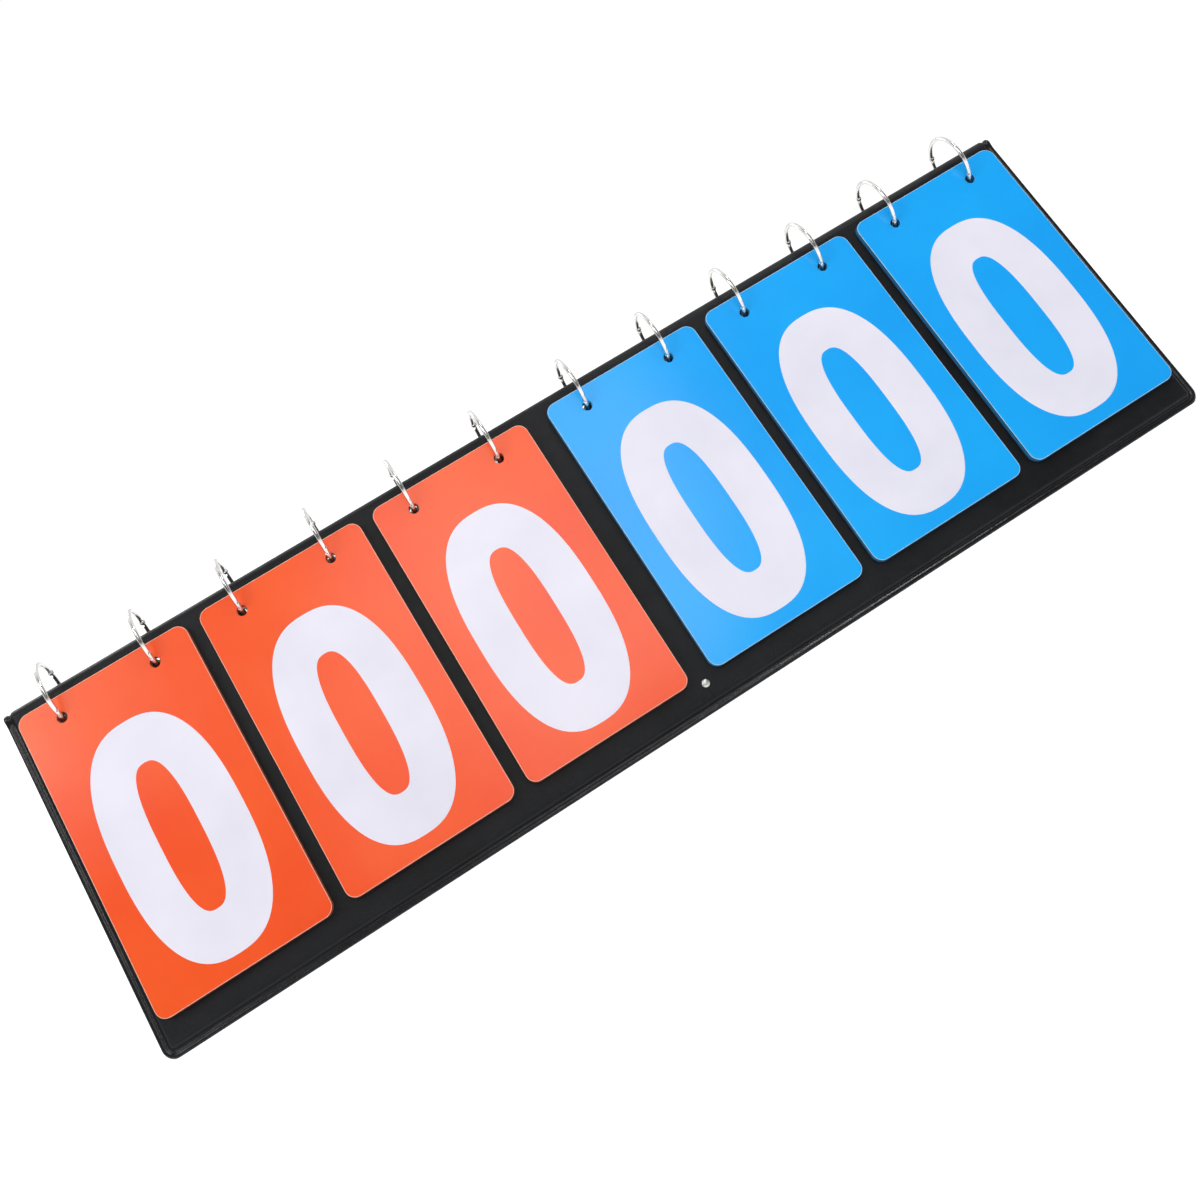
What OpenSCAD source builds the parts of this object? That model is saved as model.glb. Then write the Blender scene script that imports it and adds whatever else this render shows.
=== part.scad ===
// Tabletop flip scoreboard: a tent of two covered leaves that share a soft fold along the top.
// Six packs of number cards hang on twelve wire rings that go round the fold.
// X runs along the fold, the cards face -Y, and Z is up from the table.

/* [Cards] */
// Width of a number card
card_w = 83; // [70:1:100]
// Height of a number card
card_h = 144; // [110:1:170]
// Thickness of one card
card_t = 0.36; // [0.2:0.02:0.4]
// Corner radius of a card
card_r = 5; // [2:0.5:8]
// Cards in each pack, the one in front included
cards_each = 10; // [3:1:10]
// Air between two neighbouring cards in a pack
sheet_gap = 0.04; // [0.02:0.01:0.05]
// Gap between neighbouring packs of one team
card_gap = 7; // [3:0.5:15]
// Gap between the two teams
team_gap = 12; // [8:0.5:30]
// Diameter of the two holes in a card
card_hole_d = 5; // [4.8:0.1:6]
// Distance between the two holes of a card
hole_pitch = 46; // [30:1:60]
// Distance from a card's top edge to its hole centres
hole_margin = 9.6; // [9:0.1:11]

/* [Leaves] */
// Angle between each leaf and the vertical
half_angle = 25; // [22:0.5:28]
// Distance from the fold line down to the ring holes, along a leaf
hole_drop = 12.2; // [12:0.1:13.5]
// Leaf left bare below the cards
bottom_margin = 15.5; // [14.5:0.5:30]
// Leaf left bare beside the outer cards
side_margin = 6; // [5:0.5:20]
// Thickness of the board inside a leaf
board_t = 2; // [1.6:0.1:2.2]
// Thickness of the covering sheet
skin_t = 0.5; // [0.4:0.05:0.6]
// Width of the welded rim round the board
rim_w = 4.5; // [3.5:0.5:7]
// Corner radius at the foot of a leaf
leaf_r = 6; // [5:0.5:10]
// Distance from the fold line to the inside of each leaf
fold_gap = 1; // [1:0.05:1.2]
// Distance from the fold line to the top edge of each leaf
leaf_top = 3; // [2.6:0.1:3.6]
// Thickness of the two welded sheets in the fold
fold_t = 1; // [0.8:0.1:1.2]
// Diameter of the ring holes through the leaves
leaf_hole_d = 6; // [5.6:0.1:7]

/* [Rings] */
// Radius of a ring, to the middle of its wire
ring_r = 14.5; // [14:0.1:15.5]
// Diameter of the ring wire
wire_d = 2.2; // [1.8:0.1:2.4]
// Distance behind the front card at which a ring is centred in the card holes
ring_bias = 1.2; // [0.8:0.1:1.6]
// Place of the hinge knuckle, in degrees up and back from straight ahead
knuckle_at = 156; // [150:1:160]
// Step by which each ring is turned differently from the next
ring_turn = 2; // [0:0.5:2.5]
// Radius of a hinge eye
eye_r = 1.5; // [1.3:0.1:1.6]
// Diameter of the hinge pin
pin_d = 1; // [0.8:0.1:1.2]
// Radius of a pin head
pin_head_r = 1; // [0.8:0.1:1.2]
// Thickness of a pin head
pin_head_t = 0.35; // [0.2:0.05:0.5]
// Length of the halved joint where a ring closes
lap_len = 3; // [2:0.25:3.5]

/* [Stay] */
// Width of the stay strap
strap_w = 16; // [10:1:40]
// Thickness of the stay strap
strap_t = 0.4; // [0.3:0.05:0.4]
// Length of the strap's end that lies on a leaf
tab_h = 14; // [8:1:16]
// Distance from the foot of a leaf up to its rivet
rivet_up = 12.7; // [11:0.1:14]
// Diameter of a rivet's head
rivet_head_d = 4; // [3:0.5:4.5]
// Height of a rivet's head
rivet_head_h = 1; // [0.6:0.1:1.5]
// Diameter of a rivet's shank
rivet_d = 2; // [1.6:0.1:2.4]
// Diameter of the washer that holds the strap
washer_d = 6; // [5:0.5:8]
// Thickness of that washer
washer_t = 0.4; // [0.3:0.05:0.4]

/* [Fits] */
// Gap between a leaf and the pack that hangs on it
pack_gap = 0.1; // [0.05:0.05:0.3]
// Gap round the board inside its cover
board_fit = 0.1; // [0.05:0.05:0.2]
// Radial clearance of a ring's eye on its pin
pin_fit = 0.05; // [0.02:0.01:0.1]
// Gap between the two halves of a ring where they lap
lap_fit = 0.06; // [0.04:0.02:0.1]
// Gap between the strap and what holds it
strap_fit = 0.05; // [0.03:0.01:0.1]
// Gap between the fold and the rear leaf's top edge
fold_fit = 0.2; // [0.1:0.05:0.4]
// Radial clearance of a rivet in its holes
rivet_fit = 0.05; // [0.02:0.01:0.1]

/* [Hidden] */
stations = 6;
team = stations / 2;
$fn = 48;

// Layers of a leaf, as distances out from the fold line
lining_z = fold_gap;
board_z = lining_z + skin_t;
rim_z = board_z + skin_t;
face_z = board_z + board_t;
leaf_out = face_z + skin_t;

// Lengths along a leaf, down from the fold line
card_top = hole_drop - hole_margin;
card_bottom = card_top + card_h;
leaf_len = card_bottom + bottom_margin;
rivet_drop = leaf_len - rivet_up;
tab_low = rivet_drop + tab_h / 2;

// Width of a leaf and the height of the fold line above the table
leaf_w = stations * card_w + (stations - 2) * card_gap + team_gap + 2 * side_margin;
fold_z = leaf_len * cos(half_angle) - rim_z * sin(half_angle);

// Cards, counted outwards from the leaf
sheet_pitch = card_t + sheet_gap;
function sheet_z(k) = leaf_out + pack_gap + k * sheet_pitch;
function card_x(i) = -leaf_w / 2 + side_margin + card_w / 2 + i * (card_w + card_gap)
    + (i < team ? 0 : team_gap - card_gap);
function ring_x(n) = card_x(floor(n / 2)) + (n % 2 - 0.5) * hole_pitch;

// Direction of one step round the fold, from the front leaf over to the rear leaf
fold_steps = 24;
function fold_angle(k) = 180 - half_angle - k * (180 - 2 * half_angle) / fold_steps;
function fold_turn(k) = [cos(fold_angle(k)), sin(fold_angle(k))];

// A ring is centred in the card holes and in the rear leaf's holes
function forward(out, drop) = out * cos(half_angle) + drop * sin(half_angle);
function up(out, drop) = out * sin(half_angle) - drop * cos(half_angle);
front_out = sheet_z(cards_each - 1) - ring_bias;
rear_out = (fold_gap + leaf_out) / 2;
chord_y = forward(front_out, hole_drop) + forward(rear_out, hole_drop);
chord_z = up(front_out, hole_drop) - up(rear_out, hole_drop);
chord = norm([chord_y, chord_z]);
ring_rise = sqrt(ring_r * ring_r - chord * chord / 4);
ring_ahead = (forward(front_out, hole_drop) - forward(rear_out, hole_drop)) / 2
    - ring_rise * chord_z / chord;
ring_above = (up(front_out, hole_drop) + up(rear_out, hole_drop)) / 2
    + ring_rise * chord_y / chord;

// Angles round a ring: the knuckle, the joint opposite it, and how much each detail takes up
wire_r = wire_d / 2;
function knuckle_a(n) = knuckle_at + ring_turn * ((n * 3) % 5 - 2);
function joint_a(n) = knuckle_a(n) - 180;
eye_a = (eye_r + 0.3) / (ring_r - wire_r) * 180 / PI;
lap_a = lap_len / 2 / ring_r * 180 / PI;
end_gap_a = lap_fit / ring_r * 180 / PI;

// Colours
red_card = "#FB5F38";
blue_card = "#1CA0F5";
black_sheet = "#26282B";
grey_board = "#8F8B84";
bright_wire = "#D5D7DA";

// Places its children on a leaf: x across, y up along the leaf, z out from the fold line
module on_front_leaf() {
    translate([0, 0, fold_z]) rotate([90 - half_angle, 0, 0]) children();
}

module on_rear_leaf() {
    rotate([0, 0, 180]) on_front_leaf() children();
}

// Cuts the slanting foot of a leaf flat where it stands on the table
module stood_on_table() {
    difference() {
        children();
        translate([-leaf_w, -leaf_len, -leaf_out * 2]) cube([2 * leaf_w, 2 * leaf_len, leaf_out * 2]);
    }
}

// A leaf's outline, drawn in by inset at the sides and foot and by top_inset at the top
module leaf_outline(inset = 0, top_inset = 0) {
    w = leaf_w - 2 * inset;
    low = -leaf_len + inset;
    r = max(leaf_r - inset, 0.5);
    top = -leaf_top - top_inset;
    translate([-w / 2, low + r]) square([w, top - low - r]);
    translate([-w / 2 + r, low]) square([w - 2 * r, r + 1]);
    for (side = [-1, 1]) translate([side * (w / 2 - r), low + r]) circle(r);
}

// Everything that is punched through a leaf, from z = 0 outwards
module leaf_punches() {
    for (n = [0:2 * stations - 1]) {
        translate([ring_x(n), -hole_drop, 0]) cylinder(d = leaf_hole_d, h = leaf_out * 2);
    }
    translate([0, -rivet_drop, 0]) cylinder(r = rivet_d / 2 + rivet_fit, h = leaf_out * 2);
}

module leaf_cover() {
    color(black_sheet) difference() {
        union() {
            translate([0, 0, board_z]) linear_extrude(skin_t) leaf_outline();
            translate([0, 0, board_z]) linear_extrude(leaf_out - board_z) leaf_outline(rim_w);
        }
        linear_extrude(face_z) leaf_outline(rim_w + skin_t, skin_t);
        leaf_punches();
    }
}

module leaf_board() {
    color(grey_board) difference() {
        translate([0, 0, board_z]) linear_extrude(board_t)
            leaf_outline(rim_w + skin_t + board_fit, skin_t + board_fit);
        leaf_punches();
    }
}

module leaf_lining() {
    color(black_sheet) difference() {
        translate([0, 0, lining_z]) linear_extrude(skin_t) leaf_outline();
        leaf_punches();
    }
}

// The strip that turns over the top, from the front leaf's edge to the rear leaf's
module fold_strip() {
    inner_r = leaf_out - fold_t;
    front_low = leaf_top;
    rear_low = leaf_top - fold_fit;
    profile = concat(
        [[-forward(leaf_out, front_low), up(leaf_out, front_low)]],
        [for (k = [0:fold_steps]) leaf_out * fold_turn(k)],
        [[forward(leaf_out, rear_low), up(leaf_out, rear_low)]],
        [[forward(inner_r, rear_low), up(inner_r, rear_low)]],
        [for (k = [0:fold_steps]) inner_r * fold_turn(fold_steps - k)],
        [[-forward(inner_r, front_low), up(inner_r, front_low)]]
    );
    color(black_sheet) translate([0, 0, fold_z]) rotate([90, 0, 90])
        linear_extrude(leaf_w, center = true) polygon(profile);
}

// The strap that stops the leaves from sliding apart
module stay_strap() {
    strap_out = fold_gap - strap_fit - strap_t;
    bar_y = 2 * forward(strap_out, tab_low);
    bar_z = fold_z + up(strap_out, tab_low);
    color(black_sheet) {
        on_front_leaf() strap_tab(strap_out);
        on_rear_leaf() strap_tab(strap_out);
        translate([-strap_w / 2, -bar_y / 2, bar_z]) cube([strap_w, bar_y, strap_t]);
    }
}

module strap_tab(out) {
    difference() {
        translate([-strap_w / 2, -tab_low, out]) cube([strap_w, tab_h, strap_t]);
        translate([0, -rivet_drop, 0]) cylinder(r = rivet_d / 2 + rivet_fit, h = leaf_out);
    }
}

// A domed head outside, a shank through the leaf, and a washer over the strap
module rivet() {
    washer_z = fold_gap - 2 * strap_fit - strap_t - washer_t;
    dome_r = (rivet_head_d * rivet_head_d / 4 + rivet_head_h * rivet_head_h) / (2 * rivet_head_h);
    color(bright_wire) translate([0, -rivet_drop, 0]) {
        translate([0, 0, washer_z]) cylinder(d = washer_d, h = washer_t);
        translate([0, 0, washer_z]) cylinder(d = rivet_d, h = leaf_out - washer_z);
        intersection() {
            translate([0, 0, leaf_out + rivet_head_h - dome_r]) sphere(dome_r);
            translate([0, 0, leaf_out]) cylinder(d = rivet_head_d, h = rivet_head_h);
        }
    }
}

// One card lying in its own plane, its top edge at y = -card_top
module card_sheet() {
    linear_extrude(card_t) difference() {
        union() {
            translate([-card_w / 2 + card_r, -card_bottom]) square([card_w - 2 * card_r, card_h]);
            translate([-card_w / 2, -card_bottom + card_r]) square([card_w, card_h - 2 * card_r]);
            for (side = [-1, 1], low = [-card_bottom + card_r, -card_top - card_r]) {
                translate([side * (card_w / 2 - card_r), low]) circle(card_r);
            }
        }
        for (side = [-1, 1]) translate([side * hole_pitch / 2, -hole_drop]) circle(d = card_hole_d);
    }
}

module card_at(i, k) {
    color(i < team ? red_card : blue_card)
        on_front_leaf() translate([card_x(i), 0, sheet_z(k)]) card_sheet();
}

// The cards that wait behind the front one
module card_pack(i) {
    for (k = [0:cards_each - 2]) card_at(i, k);
}

module flip_card(i) {
    card_at(i, cards_each - 1);
}

// Places its children on a ring: x ahead, y up, angles from straight ahead over the top
module on_ring(n) {
    translate([ring_x(n), -ring_ahead, fold_z + ring_above]) rotate([90, 0, -90]) children();
}

module wire_arc(from, to) {
    rotate([0, 0, from]) rotate_extrude(angle = to - from) translate([ring_r, 0]) circle(wire_r);
}

// Takes away the wire on the far side of the ring's plane, so that two halves can lap
module lap_cut(from, to, side) {
    low = side > 0 ? -wire_d : -lap_fit / 2;
    rotate([0, 0, from]) rotate_extrude(angle = to - from)
        translate([ring_r - wire_d, low]) square([2 * wire_d, wire_d + lap_fit / 2]);
}

module hinge_eye(n, side) {
    low = side > 0 ? lap_fit / 2 : -wire_r;
    rotate([0, 0, knuckle_a(n)]) translate([ring_r, 0, low]) cylinder(r = eye_r, h = wire_r - lap_fit / 2);
}

module pin_bore(n, r) {
    rotate([0, 0, knuckle_a(n)]) translate([ring_r, 0, -wire_d]) cylinder(r = r, h = 2 * wire_d);
}

// Half a ring, lapped at both ends: from the hinge at one end to the joint at the other
module ring_half(n, from, to, side, bore_r) {
    hinge = knuckle_a(n);
    joint = side > 0 ? joint_a(n) : joint_a(n) + 360;
    color(bright_wire) on_ring(n) difference() {
        union() {
            difference() {
                wire_arc(from, to);
                lap_cut(joint - lap_a, joint + lap_a, side);
                lap_cut(hinge - eye_a, hinge + eye_a, side);
            }
            hinge_eye(n, side);
        }
        pin_bore(n, bore_r);
    }
}

// The half with the fixed end of the hinge pin
module ring_hoop(n) {
    ring_half(n, knuckle_a(n), joint_a(n) + 360 + lap_a - end_gap_a, -1, pin_d / 2);
}

// The half that swings open over the top
module ring_gate(n) {
    ring_half(n, joint_a(n) - lap_a + end_gap_a, knuckle_a(n), 1, pin_d / 2 + pin_fit);
}

// One riveted pin for each of the two rings that a pack hangs on
module ring_pins(i) {
    color(bright_wire) for (n = [2 * i, 2 * i + 1]) {
        on_ring(n) rotate([0, 0, knuckle_a(n)]) translate([ring_r, 0, 0]) {
            cylinder(d = pin_d, h = wire_d, center = true);
            translate([0, 0, wire_r]) cylinder(r = pin_head_r, h = pin_head_t);
            translate([0, 0, -wire_r - pin_head_t]) cylinder(r = pin_head_r, h = pin_head_t);
        }
    }
}

stood_on_table() on_front_leaf() leaf_cover();  // front_cover
on_front_leaf() leaf_board();  // front_board
stood_on_table() on_front_leaf() leaf_lining();  // front_lining
stood_on_table() on_rear_leaf() leaf_cover();  // rear_cover
on_rear_leaf() leaf_board();  // rear_board
stood_on_table() on_rear_leaf() leaf_lining();  // rear_lining
fold_strip();
stay_strap();
on_front_leaf() rivet();  // front_rivet
on_rear_leaf() rivet();  // rear_rivet
for (i = [1:stations]) {
    card_pack(i - 1);
    flip_card(i - 1);
    ring_pins(i - 1);
}
for (n = [1:2 * stations]) {
    ring_hoop(n - 1);
    ring_gate(n - 1);
}
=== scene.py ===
# %% [markdown]
# # A tabletop flip scoreboard
# Two stiff leaves are wrapped in one grained black PVC sheet and stand as a tent. Six packs of
# number cards hang on the front, each on two hinged steel rings that go round the fold.
# It could be modelled by eye, but the packed CAD model already holds every size and joint. So it
# is loaded first as a fixed frame. Each visible piece is built on its sizes, and rides on the body
# that carries it.

# %% Load the packed frame
import math
import random

import bpy
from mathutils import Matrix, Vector
from mathutils.geometry import tessellate_polygon


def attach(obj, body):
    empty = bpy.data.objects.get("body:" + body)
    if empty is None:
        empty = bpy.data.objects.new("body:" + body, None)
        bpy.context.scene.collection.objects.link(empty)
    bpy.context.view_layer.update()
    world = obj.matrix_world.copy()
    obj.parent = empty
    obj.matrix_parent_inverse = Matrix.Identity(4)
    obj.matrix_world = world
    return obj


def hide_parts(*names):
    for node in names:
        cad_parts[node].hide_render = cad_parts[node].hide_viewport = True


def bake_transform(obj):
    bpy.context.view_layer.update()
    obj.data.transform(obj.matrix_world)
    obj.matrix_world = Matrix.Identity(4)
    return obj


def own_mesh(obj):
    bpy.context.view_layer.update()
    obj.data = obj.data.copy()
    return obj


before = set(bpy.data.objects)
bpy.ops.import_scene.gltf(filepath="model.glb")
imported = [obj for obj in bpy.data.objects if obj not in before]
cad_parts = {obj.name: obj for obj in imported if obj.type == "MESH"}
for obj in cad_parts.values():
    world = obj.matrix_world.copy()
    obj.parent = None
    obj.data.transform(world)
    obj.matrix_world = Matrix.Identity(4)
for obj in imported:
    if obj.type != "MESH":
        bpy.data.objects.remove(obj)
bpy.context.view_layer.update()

# %% [markdown]
# ## A leaf's own directions
# The frame is in metres, but sizes are easier to think of in millimetres, so a point is turned to
# metres when it is made. Each leaf leans by 25 degrees. A piece could be built upright and turned
# afterwards, but its place has to be in its mesh. So points are given in a leaf's own directions:
# across the board, down from the fold line, and out from it.

# %% Sizes of a leaf, in millimetres
MM = 0.001
LEAN = math.radians(25)
LEAF_WIDTH = 550.0
LEAF_LENGTH = 162.1
RIM_OUT = 2.0
FOLD_HEIGHT = LEAF_LENGTH * math.cos(LEAN) - RIM_OUT * math.sin(LEAN)
FRONT, REAR = -1, 1


def on_leaf(side, across, drop, out):
    """The point of a leaf that lies drop down from the fold line and out from it, in metres."""
    y = side * (out * math.cos(LEAN) + drop * math.sin(LEAN))
    z = FOLD_HEIGHT + out * math.sin(LEAN) - drop * math.cos(LEAN)
    return Vector((across, y, z)) * MM


print("fold line at", round(FOLD_HEIGHT, 2), "mm")
print("foot of the front leaf at", on_leaf(FRONT, 0, LEAF_LENGTH, RIM_OUT))

# %% [markdown]
# ## Nodes and colours
# A material is a small graph of nodes. It could be drawn in the node editor, but code reads from
# top to bottom and gives the same graph on each run. One function adds a node with its settings,
# fixed values and links. Colours are sRGB hex values, as a designer picks them, and one function
# turns them into the linear light that a shader works in.


# %% Node and colour helpers
def add_node(tree, kind, settings=None, values=None, links=None):
    """Adds a node: settings are properties, values fixed inputs, links linked inputs."""
    node = tree.nodes.new("ShaderNode" + kind)
    for name, value in (settings or {}).items():
        setattr(node, name, value)
    for name, value in (values or {}).items():
        node.inputs[name].default_value = value
    for name, source in (links or {}).items():
        # a node that is given as the source stands for the first of its outputs in use
        if isinstance(source, bpy.types.Node):
            source = next(output for output in source.outputs if output.enabled)
        tree.links.new(source, node.inputs[name])
    return node


def linear(hex_colour):
    """A colour written as sRGB hex, as linear red, green, blue and alpha."""
    channels = [int(hex_colour[i : i + 2], 16) / 255 for i in (1, 3, 5)]
    return [c / 12.92 if c <= 0.04045 else ((c + 0.055) / 1.055) ** 2.4 for c in channels] + [1.0]


print("linear value of middle grey #808080:", round(linear("#808080")[0], 3))

# %% [markdown]
# ## What the finishes share
# No real surface is even, so each finish wanders in tone, gloss and height. Image textures could
# do that, but noise in the object's own coordinates needs no unwrapping and no file. They are
# metres here, so a pattern with one cell every s millimetres has the scale 1000 / s.

# %% Start and end a material, and its uneven colour, gloss and height
materials = {}


def per_metre(size_mm):
    """The texture scale that gives one cell in every size_mm millimetres."""
    return 1000.0 / size_mm


def start_material(name):
    """A new material with an empty tree, and the coordinates that its patterns are drawn in."""
    material = bpy.data.materials.new(name)
    material.use_nodes = True
    tree = material.node_tree
    tree.nodes.clear()
    return material, tree, add_node(tree, "TexCoord").outputs["Object"]


def patches(tree, place, size_mm, detail, low, high, roughness=0.5):
    """A value that wanders from low to high, in patches of about size_mm."""
    size = {"Scale": per_metre(size_mm), "Detail": detail, "Roughness": roughness}
    noise = add_node(tree, "TexNoise", values=size, links={"Vector": place})
    # nearly all of a noise lies between 0.3 and 0.7
    span = {"From Min": 0.3, "From Max": 0.7, "To Min": low, "To Max": high}
    return add_node(tree, "MapRange", values=span, links={"Value": noise})


def patchy_colour(tree, place, size_mm, detail, first, second, roughness=0.5):
    """A colour that wanders between two near tones, in patches of about size_mm."""
    part = patches(tree, place, size_mm, detail, 0.0, 1.0, roughness)
    tones = {"A": linear(first), "B": linear(second)}
    return add_node(tree, "Mix", {"data_type": "RGBA"}, tones, {"Factor": part})


def relief(tree, place, size_mm, detail, depth_mm, roughness=0.5, under=None):
    """Soft bumps of about size_mm and depth_mm, which may lie on a relief under them."""
    size = {"Scale": per_metre(size_mm), "Detail": detail, "Roughness": roughness}
    noise = add_node(tree, "TexNoise", values=size, links={"Vector": place})
    links = {"Height": noise, "Normal": under} if under else {"Height": noise}
    return add_node(tree, "Bump", values={"Distance": depth_mm * MM}, links=links)


def lay_finish(tree, values, **links):
    """Ends a material: the shader, with what is fixed set on its own sockets, and the output."""
    links = {name.replace("_", " "): source for name, source in links.items()}
    shader = add_node(tree, "BsdfPrincipled", values=values, links=links)
    add_node(tree, "OutputMaterial", links={"Surface": shader})


print("scale of a 1 mm pattern:", per_metre(1.0))

# %% [markdown]
# ## Grained black PVC sheet
# The covering is soft PVC sheet, calendered and embossed with a fine leather grain. Its shallow
# cells, parted by creases, turn a lamp into a broad dull sheen. Cut into the mesh, the grain would
# take millions of faces, so it is a bump. Real cells are about 0.6 mm. They are drawn 1.3 mm wide,
# because finer ones would vanish in the render. The black is uneven from handling and dust.

# %% Embossed grain
GRAIN_CELL = 1.3
CREASE_WIDTH = 0.25  # as a part of a cell
RIPPLE_SIZE = 14.0
RIPPLE_HEIGHT = 3.0  # as a multiple of the grain's


def grain_height(tree, place):
    """The height of the grain: cells between creases, on a slow ripple of the sheet."""
    cells = add_node(
        tree, "TexVoronoi", {"feature": "DISTANCE_TO_EDGE"},
        {"Scale": per_metre(GRAIN_CELL)}, {"Vector": place},
    )
    creases = add_node(tree, "MapRange", values={"From Max": CREASE_WIDTH}, links={"Value": cells})
    ripple = add_node(
        tree, "TexNoise", values={"Scale": per_metre(RIPPLE_SIZE), "Detail": 2.0},
        links={"Vector": place},
    )
    return add_node(
        tree, "Math", {"operation": "MULTIPLY_ADD"}, {1: RIPPLE_HEIGHT},
        {0: ripple, 2: creases},
    )


print("grain scale:", round(per_metre(GRAIN_CELL), 1))

# %% Crease below the rivet
# the stay pulls on the rivet, which leaves one crease from it to the foot, 1 mm wide
PULL_SIDE = (0.1, 0.6)  # full up to, and none from, so far aside
PULL_HEIGHT = (11.5, 12.5)  # the same above the table
PULL_DEPTH = -4.0  # as a multiple of the grain's height


def rivet_crease(tree, place):
    """1 in the crease below the rivet and 0 beside it."""
    parts = add_node(tree, "SeparateXYZ", links={"Vector": place}).outputs
    aside = add_node(tree, "Math", {"operation": "ABSOLUTE"}, links={0: parts["X"]})
    near, below = [
        add_node(
            tree, "MapRange", {"interpolation_type": fall},
            {"From Min": full * MM, "From Max": none * MM, "To Min": 1.0, "To Max": 0.0},
            {"Value": way},
        )
        for fall, (full, none), way in (
            ("SMOOTHSTEP", PULL_SIDE, aside), ("LINEAR", PULL_HEIGHT, parts["Z"])
        )
    ]
    return add_node(tree, "Math", {"operation": "MULTIPLY"}, links={0: near, 1: below})


print("crease up to", PULL_HEIGHT[1], "mm above the table")

# %% Grained sheet and its pressed weld
HANDLED_PATCH = 55.0
SHEEN_PATCH = 7.0


def pvc_sheet(name, smoothest, dullest, level, grain_depth):
    """Black PVC sheet: two near blacks, a patchy sheen and a grain of a given depth."""
    material, tree, place = start_material(name)
    height = add_node(
        tree, "Math", {"operation": "MULTIPLY_ADD"}, {1: PULL_DEPTH},
        {0: rivet_crease(tree, place), 2: grain_height(tree, place)},
    )
    grain = add_node(tree, "Bump", values={"Distance": grain_depth * MM}, links={"Height": height})
    lay_finish(
        tree, {"IOR": 1.5, "Specular IOR Level": level},
        Base_Color=patchy_colour(tree, place, HANDLED_PATCH, 4.0, "#121315", "#1C1D20"),
        Roughness=patches(tree, place, SHEEN_PATCH, 4.0, smoothest, dullest, 0.6), Normal=grain,
    )
    return material


materials["pvc"] = pvc_sheet("grained_pvc_sheet", 0.34, 0.48, 0.22, 0.045)
# the weld bar presses the grain flat along the rim, which leaves a broken gloss on the bead
materials["weld"] = pvc_sheet("pressed_pvc_weld", 0.12, 0.26, 0.38, 0.02)
print("made", materials["pvc"].name, "and", materials["weld"].name)

# %% [markdown]
# ## Printed PVC cards
# A card is thin rigid PVC sheet, screen printed in one strong colour on both sides. The ink has a
# satin gloss, a little uneven where the squeegee passed. A rolled sheet is never quite flat, but
# bending the mesh would push a pack's cards into each other. So a long, very low wave is a bump,
# and the fine orange peel of the ink is a second bump on it.

# %% Orange and blue print
PRINT_CLOUD = 70.0
PRINT_GLOSS_PATCH = 18.0
SHEET_WAVE, WAVE_DEPTH = 105.0, 4.5
INK_PEEL, PEEL_DEPTH = 1.6, 0.004


def card_print(name, deep, light):
    """Screen ink on rigid PVC: two near tones, a satin gloss and a long, low wave."""
    material, tree, place = start_material(name)
    wave = relief(tree, place, SHEET_WAVE, 0.0, WAVE_DEPTH)
    lay_finish(
        tree, {"IOR": 1.5, "Specular IOR Level": 0.5},
        Base_Color=patchy_colour(tree, place, PRINT_CLOUD, 3.0, deep, light),
        Roughness=patches(tree, place, PRINT_GLOSS_PATCH, 1.0, 0.24, 0.26),
        Normal=relief(tree, place, INK_PEEL, 2.0, PEEL_DEPTH, under=wave),
    )
    return material


materials["orange"] = card_print("orange_printed_pvc", "#F54B10", "#FB5D1C")
materials["blue"] = card_print("blue_printed_pvc", "#00A3F9", "#02AFFF")
print("made", materials["orange"].name, "and", materials["blue"].name)

# %% [markdown]
# ## Cut edge of a card
# A die cuts the cards, which lays bare the sheet's pale core. It could be plain white, but the ink
# stains it and the die leaves it rough, so its flecks are tinted by the card's own colour. The cut
# edges of the cards behind the front one are painted much darker, as painted shade in the pack.

# %% Cut edges
EDGE_FLECK, FLECK_DEPTH = 1.2, 0.01


def cut_edge(name, dull, bright):
    """The die-cut core, pale or darkened as painted shade, rough from the die and stained by ink.
    """
    material, tree, place = start_material(name)
    lay_finish(
        tree, {"IOR": 1.5, "Specular IOR Level": 0.3},
        Base_Color=patchy_colour(tree, place, EDGE_FLECK, 3.0, dull, bright),
        Roughness=patches(tree, place, EDGE_FLECK, 3.0, 0.48, 0.6),
        Normal=relief(tree, place, EDGE_FLECK, 3.0, FLECK_DEPTH),
    )
    return material


materials["orange_edge"] = cut_edge("pale_orange_pvc_edge", "#F7B79C", "#FBD3C2")
materials["blue_edge"] = cut_edge("pale_blue_pvc_edge", "#9FD2F2", "#C6E5F8")
# the cards behind the front one get darker edges: painted shade between the packed cards
materials["orange_stack"] = cut_edge("orange_pvc_edge_painted_shade", "#7E3A22", "#A85436")
materials["blue_stack"] = cut_edge("blue_pvc_edge_painted_shade", "#1E5478", "#35749F")
print("card materials:", [material.name for key, material in materials.items() if "_" in key])

# %% [markdown]
# ## White number ink
# The numbers are a second, thick pass of screen ink. White ink is opaque and dries a little
# duller than the sheet. A plain white would look like a hole in the card, so its tone wanders
# slightly and its gloss breaks up into patches of 5 mm.

# %% Number ink
INK_CLOUD = 40.0
INK_GLOSS_PATCH = 5.0
INK_GRAIN, INK_GRAIN_DEPTH = 1.8, 0.005

material, tree, place = start_material("white_screen_ink")
lay_finish(
    tree, {"IOR": 1.48, "Specular IOR Level": 0.3},
    Base_Color=patchy_colour(tree, place, INK_CLOUD, 3.0, "#E4E2F0", "#EEECF8"),
    Roughness=patches(tree, place, INK_GLOSS_PATCH, 2.0, 0.36, 0.44),
    Normal=relief(tree, place, INK_GRAIN, 3.0, INK_GRAIN_DEPTH),
)
materials["ink"] = material
print("made", material.name)

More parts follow.
